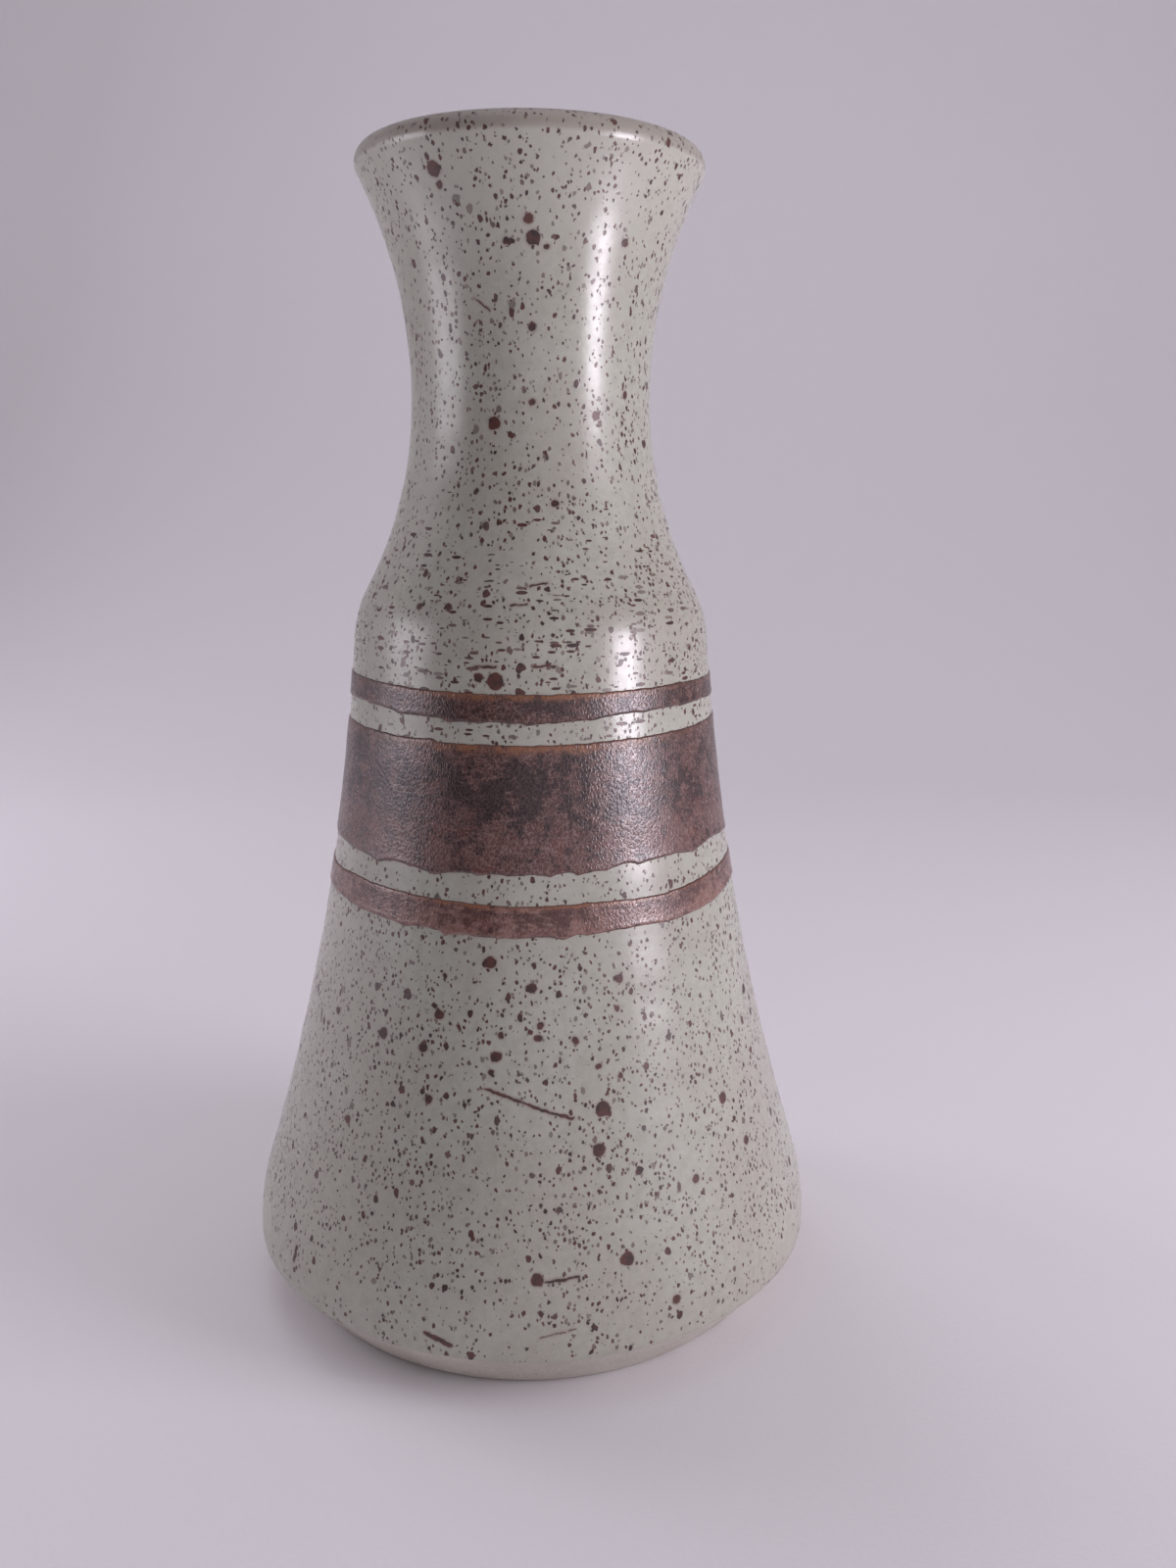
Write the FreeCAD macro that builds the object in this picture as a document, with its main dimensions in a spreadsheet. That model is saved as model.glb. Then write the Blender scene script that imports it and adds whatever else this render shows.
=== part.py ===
"""Stoneware vase, built as it is made: a thrown clay body, a glaze inside, a glaze
outside and three bands of brown glaze brushed round it below the shoulder.

Millimetres, +Z up.  The origin is the centre of the foot, on the surface that the
vase stands on.  Every piece is turned about the Z axis, so each is one closed
profile in the XZ plane, revolved once.

The outline of the outside is a chain of arcs, each tangent to the next:

    base     rounds the foot of the wall, upright where it meets the foot bevel
    bell     one long hollow curve up to the shoulder
    shoulder a soft corner, convex
    neck     hollow, from the shoulder up to the waist
    flare    hollow, from the waist up to the lip
    lip      a half round as thick as the whole wall

Every other surface of the wall keeps the centres of those arcs and stands inside
the outline by an inset, so that clay and glaze meet without a gap or an overlap.
"""
import FreeCAD, Part
import math
import os
import Sketcher

NAMED_SIZES = [
    ("total_height", 270.0, "foot to the crown of the lip"),
    ("lip_radius", 39.4, "widest radius of the lip"),
    ("waist_radius", 27.7, "narrowest radius of the neck"),
    ("waist_height", 218.0, "height of the narrowest place"),
    ("neck_round", 93.0, "arc between the shoulder and the waist"),
    ("shoulder_height", 160.0, "height of the centre of the shoulder's arc"),
    ("shoulder_round", 27.5, "arc of the shoulder"),
    ("bell_round", 596.0, "arc of the wall between the base and the shoulder"),
    ("base_round", 53.0, "arc at the foot of the wall"),
    ("base_radius", 71.0, "widest radius, at the edge above the foot bevel"),
    ("base_height", 12.5, "height of that edge"),
    ("foot_radius", 60.5, "outer radius of the ring that the vase stands on"),
    ("foot_ring", 9.0, "width of that ring"),
    ("recess_depth", 3.5, "hollow turned under the floor"),
    ("recess_slope", 2.0, "how far the side of the hollow leans in"),
    ("floor_height", 11.0, "top of the clay floor"),
    ("floor_round", 10.0, "fillet between the floor and the wall, in the clay"),
    ("wall", 7.0, "the whole wall: glaze, clay and glaze"),
    ("glaze", 0.6, "thickness of one coat of glaze"),
    ("brushed", 0.3, "thickness of a brushed band, over the glaze"),
    ("upper_band_top", 153.7, "upper band, top edge"),
    ("upper_band_bottom", 147.8, "upper band, bottom edge"),
    ("middle_band_top", 143.0, "middle band, top edge"),
    ("middle_band_bottom", 115.2, "middle band, bottom edge"),
    ("lower_band_top", 108.4, "lower band, top edge"),
    ("lower_band_bottom", 101.4, "lower band, bottom edge"),
]

# Sketcher's own numbers: the ends and the centre of an arc, and the sketch's axes.
START, END, CENTRE = 1, 2, 3
ORIGIN_AND_X_AXIS, Z_AXIS = -1, -2

doc = FreeCAD.newDocument("Vase")


def make_sheet():
    """The driving dimensions, one named cell each."""
    sheet = doc.addObject("Spreadsheet::Sheet", "dims")
    for row, (alias, value, meaning) in enumerate(NAMED_SIZES, start=1):
        sheet.set(f"A{row}", alias)
        sheet.set(f"B{row}", str(value))
        sheet.set(f"C{row}", meaning)
        sheet.setAlias(f"B{row}", alias)
    doc.recompute()
    return sheet


sheet = make_sheet()


def size(alias):
    """One dimension, as the sheet holds it."""
    return float(sheet.get(alias))


def outer_meeting_point(centre_a, reach_a, centre_b, reach_b):
    """The point, away from the axis, that lies reach_a and reach_b from two centres."""
    across = FreeCAD.Vector(centre_b).sub(centre_a)
    gap = across.Length
    along = (reach_a ** 2 - reach_b ** 2 + gap ** 2) / (2 * gap)
    out = math.sqrt(reach_a ** 2 - along ** 2)
    unit = across / gap
    return centre_a + unit * along + FreeCAD.Vector(unit.y, -unit.x, 0) * out


def arc_centres():
    """Where the arcs of the outline are struck from, so that each touches the next."""
    lip = FreeCAD.Vector(size("lip_radius") - size("wall") / 2,
                         size("total_height") - size("wall") / 2, 0)
    neck = FreeCAD.Vector(size("waist_radius") + size("neck_round"), size("waist_height"), 0)
    rise = size("waist_height") - size("shoulder_height")
    reach = size("neck_round") + size("shoulder_round")
    shoulder = FreeCAD.Vector(neck.x - math.sqrt(reach ** 2 - rise ** 2),
                              size("shoulder_height"), 0)
    base = FreeCAD.Vector(size("base_radius") - size("base_round"), size("base_height"), 0)
    bell = outer_meeting_point(base, size("base_round") + size("bell_round"),
                               shoulder, size("shoulder_round") + size("bell_round"))
    lip_rise = lip.y - size("waist_height")
    lip_reach = size("waist_radius") - lip.x
    half_wall = size("wall") / 2
    flare_round = (lip_reach ** 2 + lip_rise ** 2 - half_wall ** 2) / (2 * (half_wall - lip_reach))
    flare = FreeCAD.Vector(size("waist_radius") + flare_round, size("waist_height"), 0)
    return {"base": base, "bell": bell, "shoulder": shoulder, "neck": neck,
            "flare": flare, "lip": lip}


CENTRES = arc_centres()


FULL_TURN = 2 * math.pi


def angle_between(point_from, point_to):
    """The angle at which one point sees another, between 0 and a full turn."""
    line = point_to.sub(point_from)
    return math.atan2(line.y, line.x) % FULL_TURN


def direction(name_from, name_to):
    """The angle at which one arc's centre sees another's."""
    return angle_between(CENTRES[name_from], CENTRES[name_to])


# The lip's arc touches the outer flare, passes its crown and touches the inner flare.
OUTER_TOUCH = direction("lip", "flare") - FULL_TURN
CROWN = math.pi / 2
INNER_TOUCH = direction("flare", "lip")


class Profile:
    """A closed profile in a body's XZ plane, its sizes bound to the sheet."""

    def __init__(self, label):
        self.body = doc.addObject("PartDesign::Body", label)
        self.body.Label = label
        self.sketch = self.body.newObject("Sketcher::SketchObject", label + "_profile")
        plane = [item for item in self.body.Origin.OriginFeatures if item.Role == "XZ_Plane"]
        self.sketch.AttachmentSupport = [(plane[0], "")]
        self.sketch.MapMode = "FlatFace"

    def bind(self, expression, kind, *places):
        """A dimension bound to the sheet; it starts at the value that is drawn."""
        if kind == "Radius":
            drawn = self.sketch.Geometry[places[0]].Radius
        else:
            ends = [self.sketch.getPoint(*places[i:i + 2]) for i in (0, 2)]
            across = ends[1].sub(ends[0])
            drawn = across.x if kind == "DistanceX" else across.y
        index = self.sketch.addConstraint(Sketcher.Constraint(kind, *places, drawn))
        name = f"size_{index}"
        self.sketch.renameConstraint(index, name)
        self.sketch.setExpression(f"Constraints.{name}", expression)

    def hold(self, kind, *places):
        """A constraint with no number, such as Tangent or Horizontal."""
        self.sketch.addConstraint(Sketcher.Constraint(kind, *places))

    def at_radius(self, expression, item, point):
        self.bind(expression, "DistanceX", ORIGIN_AND_X_AXIS, START, item, point)

    def at_height(self, expression, item, point):
        self.bind(expression, "DistanceY", ORIGIN_AND_X_AXIS, START, item, point)

    def arc(self, centre, radius, angle_from, angle_to):
        circle = Part.Circle(centre, FreeCAD.Vector(0, 0, 1), radius)
        return self.sketch.addGeometry(Part.ArcOfCircle(circle, angle_from, angle_to), False)

    def guide_circle(self, centre, radius):
        circle = Part.Circle(centre, FreeCAD.Vector(0, 0, 1), radius)
        return self.sketch.addGeometry(circle, True)

    def line(self, point_from, point_to):
        ends = [FreeCAD.Vector(*point, 0) for point in (point_from, point_to)]
        return self.sketch.addGeometry(Part.LineSegment(*ends), False)

    def point(self, item, end):
        place = self.sketch.getPoint(item, end)
        return place.x, place.y

    def closing_line(self, item_a, end_a, item_b, end_b):
        """A straight edge between two free ends."""
        edge = self.line(self.point(item_a, end_a), self.point(item_b, end_b))
        self.hold("Coincident", edge, START, item_a, end_a)
        self.hold("Coincident", edge, END, item_b, end_b)
        return edge

    def base_and_bell(self, inset, inset_name):
        """The outside of the wall's lower half, from its bottom edge upwards."""
        base = self.arc(CENTRES["base"], size("base_round") - inset, 0, direction("base", "bell"))
        self.at_radius("dims.base_radius - dims.base_round", base, CENTRE)
        self.at_height("dims.base_height", base, CENTRE)
        self.bind(f"dims.base_round - {inset_name}", "Radius", base)
        self.hold("Horizontal", base, CENTRE, base, START)
        bell = self.bell_arc(inset, inset_name, direction("bell", "base"))
        self.hold("Tangent", base, END, bell, END)
        return base, bell

    def bell_arc(self, inset, inset_name, lower_angle):
        bell = self.arc(CENTRES["bell"], size("bell_round") + inset,
                        direction("bell", "shoulder"), lower_angle)
        self.bind(f"dims.bell_round + {inset_name}", "Radius", bell)
        return bell

    def guide_base(self, inset, inset_name):
        """The base arc as a guide only, for a bell that starts somewhere else."""
        base = self.guide_circle(CENTRES["base"], size("base_round") - inset)
        self.at_radius("dims.base_radius - dims.base_round", base, CENTRE)
        self.at_height("dims.base_height", base, CENTRE)
        self.bind(f"dims.base_round - {inset_name}", "Radius", base)
        return base

    def shoulder_to_flare(self, inset, inset_name, bell):
        """The upper half of the wall, from the top of the bell to the top of the flare."""
        shoulder = self.arc(CENTRES["shoulder"], size("shoulder_round") - inset,
                            direction("shoulder", "bell"), direction("shoulder", "neck"))
        self.at_height("dims.shoulder_height", shoulder, CENTRE)
        self.bind(f"dims.shoulder_round - {inset_name}", "Radius", shoulder)
        self.hold("Tangent", bell, START, shoulder, START)

        neck = self.arc(CENTRES["neck"], size("neck_round") + inset,
                        math.pi, direction("neck", "shoulder"))
        self.at_radius("dims.waist_radius + dims.neck_round", neck, CENTRE)
        self.at_height("dims.waist_height", neck, CENTRE)
        self.bind(f"dims.neck_round + {inset_name}", "Radius", neck)
        self.hold("Tangent", shoulder, END, neck, END)

        flare_round = CENTRES["flare"].x - size("waist_radius") + inset
        flare = self.arc(CENTRES["flare"], flare_round, direction("flare", "lip"), math.pi)
        self.at_height("dims.waist_height", flare, CENTRE)
        self.hold("Tangent", neck, START, flare, END)
        return flare

    def lip_arc(self, radius, radius_name, angle_from, angle_to):
        lip = self.arc(CENTRES["lip"], radius, angle_from, angle_to)
        self.at_radius("dims.lip_radius - dims.wall / 2", lip, CENTRE)
        self.at_height("dims.total_height - dims.wall / 2", lip, CENTRE)
        self.bind(radius_name, "Radius", lip)
        return lip

    def floor_and_bell(self, inset, inset_name, floor, floor_name, fillet, fillet_name):
        """The inside of the lower half: a level floor, a fillet and the hollow wall."""
        reach = size("bell_round") + inset + fillet
        centre_height = floor + fillet
        drop = CENTRES["bell"].y - centre_height
        centre_radius = CENTRES["bell"].x - math.sqrt(reach ** 2 - drop ** 2)
        centre = FreeCAD.Vector(centre_radius, centre_height, 0)

        bell = self.bell_arc(inset, inset_name, angle_between(CENTRES["bell"], centre))
        self.hold("Tangent", bell, self.guide_base(inset, inset_name))
        touch = angle_between(centre, CENTRES["bell"]) + FULL_TURN
        corner = self.arc(centre, fillet, 0.75 * FULL_TURN, touch)
        self.bind(fillet_name, "Radius", corner)
        self.hold("Tangent", bell, END, corner, END)
        level = self.line((0, floor), (centre_radius, floor))
        self.hold("Tangent", level, END, corner, START)
        self.hold("Horizontal", level)
        self.at_height(floor_name, level, START)
        self.hold("PointOnObject", level, START, Z_AXIS)
        return level, bell

    def revolve(self):
        """Turn the finished profile about the Z axis."""
        self.sketch.solve()
        turn = self.body.newObject("PartDesign::Revolution", self.body.Name + "_turned")
        turn.Profile = self.sketch
        turn.ReferenceAxis = (self.sketch, ["V_Axis"])
        turn.Angle = 360
        self.sketch.Visibility = False
        return self.body


def make_clay_body():
    """The thrown pot: half-round lip, wall, floor and a turned foot with its bevel."""
    part = Profile("clay_body")
    glaze = size("glaze")
    inner = size("wall") - glaze

    base, bell = part.base_and_bell(glaze, "dims.glaze")
    flare = part.shoulder_to_flare(glaze, "dims.glaze", bell)
    lip = part.lip_arc(size("wall") / 2 - glaze, "dims.wall / 2 - dims.glaze",
                       OUTER_TOUCH, INNER_TOUCH)
    part.hold("Tangent", flare, START, lip, START)

    level, inner_bell = part.floor_and_bell(inner, "(dims.wall - dims.glaze)",
                                            size("floor_height"), "dims.floor_height",
                                            size("floor_round"), "dims.floor_round")
    inner_flare = part.shoulder_to_flare(inner, "(dims.wall - dims.glaze)", inner_bell)
    part.hold("Tangent", lip, END, inner_flare, START)

    add_foot(part, level, base)
    return part.revolve()


def add_foot(part, level, base):
    """The underside: a shallow hollow, the ring that it stands on and the bevel."""
    inner_ring = size("foot_radius") - size("foot_ring")
    hollow_edge = inner_ring - size("recess_slope")
    depth = size("recess_depth")
    axis = part.line((0, size("floor_height")), (0, depth))
    part.hold("Coincident", axis, START, level, START)
    part.hold("Vertical", axis)
    hollow = part.line((0, depth), (hollow_edge, depth))
    part.hold("Coincident", hollow, START, axis, END)
    part.hold("Horizontal", hollow)
    part.at_height("dims.recess_depth", hollow, END)
    side = part.line((hollow_edge, depth), (inner_ring, 0))
    part.hold("Coincident", side, START, hollow, END)
    part.bind("dims.recess_slope", "DistanceX", side, START, side, END)
    ring = part.line((inner_ring, 0), (size("foot_radius"), 0))
    part.hold("Coincident", ring, START, side, END)
    part.hold("PointOnObject", ring, START, ORIGIN_AND_X_AXIS)
    part.hold("Horizontal", ring)
    part.bind("dims.foot_ring", "DistanceX", ring, START, ring, END)
    part.at_radius("dims.foot_radius", ring, END)
    part.closing_line(ring, END, base, START)


def make_outer_glaze():
    """The pale glaze outside, from the edge above the bevel to the crown of the lip."""
    part = Profile("outer_glaze")
    ends = []
    faces = ((0.0, "0", "dims.wall / 2"),
             (size("glaze"), "dims.glaze", "dims.wall / 2 - dims.glaze"))
    for inset, inset_name, radius_name in faces:
        base, bell = part.base_and_bell(inset, inset_name)
        flare = part.shoulder_to_flare(inset, inset_name, bell)
        lip = part.lip_arc(size("wall") / 2 - inset, radius_name, OUTER_TOUCH, CROWN)
        part.hold("Tangent", flare, START, lip, START)
        part.hold("Vertical", lip, CENTRE, lip, END)
        ends.append((base, lip))
    (base, lip), (clay_base, clay_lip) = ends
    part.closing_line(clay_base, START, base, START)
    part.closing_line(lip, END, clay_lip, END)
    return part.revolve()


def liner_face(part, inset, inset_name, coat, coat_name):
    """One face of the liner: floor, wall and the inner quarter of the lip."""
    less_coat = f" - {coat_name}" if coat_name else ""
    plus_coat = f" + {coat_name}" if coat_name else ""
    level, bell = part.floor_and_bell(inset, inset_name,
                                      size("floor_height") + coat, "dims.floor_height" + plus_coat,
                                      size("floor_round") - coat, "dims.floor_round" + less_coat)
    flare = part.shoulder_to_flare(inset, inset_name, bell)
    radius = inset - size("wall") / 2
    lip = part.lip_arc(radius, f"{inset_name} - dims.wall / 2", CROWN, INNER_TOUCH)
    part.hold("Tangent", lip, END, flare, START)
    part.hold("Vertical", lip, CENTRE, lip, START)
    return level, lip


def make_liner_glaze():
    """The same glaze inside, from the crown of the lip down over the whole floor."""
    part = Profile("liner_glaze")
    glaze = size("glaze")
    level, lip = liner_face(part, size("wall") - glaze, "(dims.wall - dims.glaze)", 0.0, "")
    open_level, open_lip = liner_face(part, size("wall"), "dims.wall", glaze, "dims.glaze")
    part.closing_line(level, START, open_level, START)
    part.closing_line(lip, START, open_lip, START)
    return part.revolve()


def make_band(name):
    """A band of brown glaze on the bell, standing proud of the pale glaze."""
    part = Profile(name)
    base = part.guide_base(0.0, "0")
    neck = part.guide_circle(CENTRES["neck"], size("neck_round"))
    part.at_radius("dims.waist_radius + dims.neck_round", neck, CENTRE)
    part.at_height("dims.waist_height", neck, CENTRE)
    part.bind("dims.neck_round", "Radius", neck)
    shoulder = part.guide_circle(CENTRES["shoulder"], size("shoulder_round"))
    part.at_height("dims.shoulder_height", shoulder, CENTRE)
    part.bind("dims.shoulder_round", "Radius", shoulder)
    part.hold("Tangent", shoulder, neck)

    faces = []
    for proud, proud_name in ((0.0, "0"), (size("brushed"), "dims.brushed")):
        radius = size("bell_round") - proud
        angles = [math.pi + math.asin((CENTRES["bell"].y - size(f"{name}_{edge}")) / radius)
                  for edge in ("top", "bottom")]
        face = part.arc(CENTRES["bell"], radius, *angles)
        part.bind(f"dims.bell_round - {proud_name}", "Radius", face)
        faces.append(face)
    glaze_face, open_face = faces
    part.hold("Tangent", glaze_face, base)
    part.hold("Tangent", glaze_face, shoulder)
    part.hold("Coincident", open_face, CENTRE, glaze_face, CENTRE)
    for end, edge in ((START, "top"), (END, "bottom")):
        part.at_height(f"dims.{name}_{edge}", glaze_face, end)
        edge_line = part.closing_line(glaze_face, end, open_face, end)
        part.hold("Horizontal", edge_line)
    return part.revolve()


def check_and_write(bodies):
    """Refuse a failed object or a bad shape, then write one STEP file for each body."""
    doc.recompute()
    for item in doc.Objects:
        if "Invalid" in item.State or "Error" in item.State:
            raise RuntimeError(f"{item.Label} failed: {item.State}")
        if item.TypeId == "Sketcher::SketchObject" and not item.FullyConstrained:
            raise RuntimeError(f"{item.Label} is not fully constrained")
    for body in bodies:
        if body.Shape.isNull() or not body.Shape.isValid() or len(body.Shape.Solids) != 1:
            raise RuntimeError(f"{body.Label} has no good solid")
    os.makedirs("parts", exist_ok=True)
    for body in bodies:
        body.Shape.exportStep(f"parts/{body.Label}.step")
        box = body.Shape.optimalBoundingBox(False)
        print(f"{body.Label:14s} {body.Shape.Volume / 1000:8.2f} cm3   "
              f"radius {box.XMax:6.2f}   height {box.ZMin:6.2f} to {box.ZMax:6.2f}")


check_and_write([make_clay_body(), make_outer_glaze(), make_liner_glaze(),
                 make_band("upper_band"), make_band("middle_band"), make_band("lower_band")])
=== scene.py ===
# %% [markdown]
# # A speckled stoneware vase
#
# This lesson dresses a finished CAD model of a hand-thrown vase. The CAD model gives the exact sizes: a
# clay body, a coat of pale glaze outside, the same glaze inside, and three bands of brown glaze that
# were brushed on. Here each of them gets the surface it has on the real pot. The CAD model comes in
# first and is never moved.

# %% Load the CAD model
import math

import bpy
import numpy as np
from mathutils import Matrix, Vector


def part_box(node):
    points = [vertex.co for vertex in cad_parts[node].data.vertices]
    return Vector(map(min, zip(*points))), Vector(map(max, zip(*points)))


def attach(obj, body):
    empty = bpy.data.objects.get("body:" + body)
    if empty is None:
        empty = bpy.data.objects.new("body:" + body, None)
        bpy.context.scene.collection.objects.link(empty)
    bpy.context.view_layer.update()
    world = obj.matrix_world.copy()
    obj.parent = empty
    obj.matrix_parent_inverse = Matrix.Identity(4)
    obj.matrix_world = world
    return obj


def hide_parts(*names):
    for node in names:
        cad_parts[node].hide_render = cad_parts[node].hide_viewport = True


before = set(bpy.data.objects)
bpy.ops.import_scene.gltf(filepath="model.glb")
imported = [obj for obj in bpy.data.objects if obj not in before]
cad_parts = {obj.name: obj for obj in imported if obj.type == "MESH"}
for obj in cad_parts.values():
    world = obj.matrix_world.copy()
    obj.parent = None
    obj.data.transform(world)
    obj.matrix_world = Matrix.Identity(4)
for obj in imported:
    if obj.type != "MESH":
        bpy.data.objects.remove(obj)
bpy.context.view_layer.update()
print("pieces in the CAD model:", ", ".join(sorted(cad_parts)))

# %% [markdown]
# ## The outline
#
# A pot's outline is a few soft curves that run into each other. The CAD model strikes each as an arc of
# a circle, and each arc touches the next, so the wall has no kink. The outline could be read back from
# the CAD mesh, but that has flats. The same arcs are struck again from the same sizes instead, because
# every new surface follows them. Sizes are in millimetres and become metres only when a mesh is made.

# %% The sizes of the pot, in millimetres
MM = 0.001


def cad_range(node):
    """The widest radius, the lowest height and the highest height of a CAD node, in mm."""
    low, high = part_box(node)
    return (high[0] - low[0]) / 2 / MM, low[2] / MM, high[2] / MM


BASE_RADIUS, BASE_HEIGHT, TOTAL_HEIGHT = cad_range("outer_glaze")
WALL = 7.0
GLAZE_COAT = 0.6
LIP_RADIUS = 39.4
WAIST_RADIUS, WAIST_HEIGHT = 27.7, 218.0
SHOULDER_HEIGHT = 160.0
BASE_ROUND, BELL_ROUND, SHOULDER_ROUND, NECK_ROUND = 53.0, 596.0, 27.5, 93.0
print(f"height {TOTAL_HEIGHT:.1f}, widest radius {BASE_RADIUS:.1f} at a height of {BASE_HEIGHT:.1f}")

# %% Where the arcs are struck from
HALF_WALL = WALL / 2
LIP = np.array([LIP_RADIUS - HALF_WALL, TOTAL_HEIGHT - HALF_WALL])
NECK = np.array([WAIST_RADIUS + NECK_ROUND, WAIST_HEIGHT])
neck_rise, neck_reach = WAIST_HEIGHT - SHOULDER_HEIGHT, NECK_ROUND + SHOULDER_ROUND
SHOULDER = np.array([NECK[0] - math.sqrt(neck_reach ** 2 - neck_rise ** 2), SHOULDER_HEIGHT])
BASE = np.array([BASE_RADIUS - BASE_ROUND, BASE_HEIGHT])


def meeting_point(centre_a, reach_a, centre_b, reach_b):
    """The point away from the axis that lies reach_a and reach_b from two centres."""
    across = centre_b - centre_a
    gap = np.hypot(*across)
    along = (reach_a ** 2 - reach_b ** 2 + gap ** 2) / (2 * gap)
    out = math.sqrt(reach_a ** 2 - along ** 2)
    unit = across / gap
    return centre_a + unit * along + np.array([unit[1], -unit[0]]) * out


BELL = meeting_point(BASE, BASE_ROUND + BELL_ROUND, SHOULDER, SHOULDER_ROUND + BELL_ROUND)
lip_rise, lip_reach = LIP[1] - WAIST_HEIGHT, WAIST_RADIUS - LIP[0]
FLARE_ROUND = (lip_reach ** 2 + lip_rise ** 2 - HALF_WALL ** 2) / (2 * (HALF_WALL - lip_reach))
FLARE = np.array([WAIST_RADIUS + FLARE_ROUND, WAIST_HEIGHT])
print("the bell is struck from", BELL.round(1), "and the flare from", FLARE.round(1))

# %% Walk along the arcs
FULL_TURN = 2 * math.pi
CROWN = math.pi / 2


def heading(centre_from, centre_to):
    """The angle at which one arc's centre sees another's."""
    across = centre_to - centre_from
    return math.atan2(across[1], across[0])


def arc(centre, radius, start, end, step):
    """Points along an arc, a step apart, as radius and height."""
    count = max(2, round(abs(end - start) * radius / step))
    angles = np.linspace(start, end, count, endpoint=False)
    return centre + radius * np.stack([np.cos(angles), np.sin(angles)], axis=1)


def wall_line(step, inset=0.0):
    """The wall, from the bell up to the outer side of the lip, at an inset from the outside."""
    bell_from, bell_to = heading(BELL, BASE) % FULL_TURN, heading(BELL, SHOULDER) % FULL_TURN
    return np.vstack([
        arc(BELL, BELL_ROUND + inset, bell_from, bell_to, step),
        arc(SHOULDER, SHOULDER_ROUND - inset, heading(SHOULDER, BELL), heading(SHOULDER, NECK), step),
        arc(NECK, NECK_ROUND + inset, heading(NECK, SHOULDER) % FULL_TURN, math.pi, step),
        arc(FLARE, FLARE_ROUND + inset, math.pi, heading(FLARE, LIP), step),
    ])


def outside_line(step, inset=0.0):
    """The outside, from the edge at the base up to the outer side of the lip."""
    base = arc(BASE, BASE_ROUND - inset, 0, heading(BASE, BELL), step)
    return np.vstack([base, wall_line(step, inset)])


OUTSIDE = outside_line(0.5)


def outer_radius(height):
    """The radius of the outside at a height between the base edge and the lip."""
    return np.interp(height, OUTSIDE[:, 1], OUTSIDE[:, 0])


print(f"{len(OUTSIDE)} points, narrowest {OUTSIDE[:, 0].min():.2f}, up to {OUTSIDE[-1, 1]:.1f}")

# %% [markdown]
# ## Meshes turned on the wheel
#
# Every piece here is a line of points swung round the axis, as a pot is. Blender's Screw modifier could
# swing it, but its rings come out perfectly round. One helper builds the mesh from rows of points
# instead. Each row may change with the angle, so that edges can dip and walls can wander a little.
# Angles are counted from the front of the pot, and grow towards its right.

# %% A mesh from rows of points
def around(count):
    """The angles of the points of one ring, from the front of the pot."""
    return np.linspace(-math.pi, math.pi, count, endpoint=False)


def spot(angle, radius, height):
    """The place at an angle, a radius and a height."""
    return np.stack(np.broadcast_arrays(radius * np.sin(angle), -radius * np.cos(angle), height), axis=-1)


def quads(rows, count, joined):
    """The faces between rows of points. joined closes the last row onto the first."""
    ring = np.arange(count)
    ahead = np.roll(ring, -1)
    starts = np.arange(rows if joined else rows - 1)[:, None]
    row, above = starts * count, (starts + 1) % rows * count
    return np.stack([row + ring, row + ahead, above + ahead, above + ring], axis=2).reshape(-1, 4).tolist()


def turned(name, radius, height, material, poles=()):
    """A closed mesh turned about the axis. poles are the heights of its ends, if it closes on the axis."""
    rows, count = radius.shape
    places = spot(around(count), radius, height).reshape(-1, 3)
    faces = quads(rows, count, not poles)
    for pole, row in zip(poles, (0, rows - 1)):
        centre = len(places)
        places = np.vstack([places, [0, 0, pole]])
        edge = row * count + np.arange(count)
        ahead = np.roll(edge, -1)
        pair = (ahead, edge) if row == 0 else (edge, ahead)
        faces += np.stack([*pair, np.full(count, centre)], axis=1).tolist()
    mesh = bpy.data.meshes.new(name)
    mesh.from_pydata((places * MM).tolist(), [], faces)
    mesh.materials.append(material)
    mesh.shade_smooth()
    piece = bpy.data.objects.new(name, mesh)
    bpy.context.scene.collection.objects.link(piece)
    print(f"{name}: {len(mesh.polygons)} faces")
    return piece


def belongs(piece, node):
    """The piece stands for a CAD node, which is hidden, and goes wherever the vase goes."""
    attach(piece, "root")
    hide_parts(node)


# %% [markdown]
# ## A hand-thrown wall
#
# A thrown wall is never quite true. Fingers leave low spiral ridges, and the pot leans and swells by a
# tenth of a millimetre or two. It could be sculpted, but a handful of slow waves, added together, gives
# it at once. Every layer on the outside reads the same waves, so that the brushed bands sit on the glaze
# all the way round.

# %% How far the wall stands off the true outline
THROWING_WAVES = [  # turns round the pot, ridges in 100 mm of height, size in mm, start
    (1, 0.3, 0.10, 0.4), (2, 0.7, 0.08, 2.1), (3, 1.9, 0.04, 4.0),
    (1, 5.3, 0.035, 1.2), (1, 9.1, 0.025, 5.2),
]
TRIMMED_TRUE = 6.0


def waves(angle, height, several):
    """Millimetres outwards at an angle and a height."""
    return sum(size * np.sin(turns * angle + ridges * height * FULL_TURN / 100 + start)
               for turns, ridges, size, start in several)


def wander(angle, height):
    """The outside's own waves, which die away over the few millimetres trimmed true at the base's edge."""
    return waves(angle, height, THROWING_WAVES) * np.clip((height - BASE_HEIGHT) / TRIMMED_TRUE, 0, 1)


print("the wall wanders by at most", round(sum(wave[2] for wave in THROWING_WAVES), 2), "mm")

# %% [markdown]
# ## Shader maths in Python
#
# A material is a small sum worked out at every point of a surface. Blender writes sums as boxes joined
# by wires, and they could be joined one by one. Long sums are hard to read that way. Here a socket is
# wrapped in a class that knows Python's operators, so `1 - mask` adds the box by itself.

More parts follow.
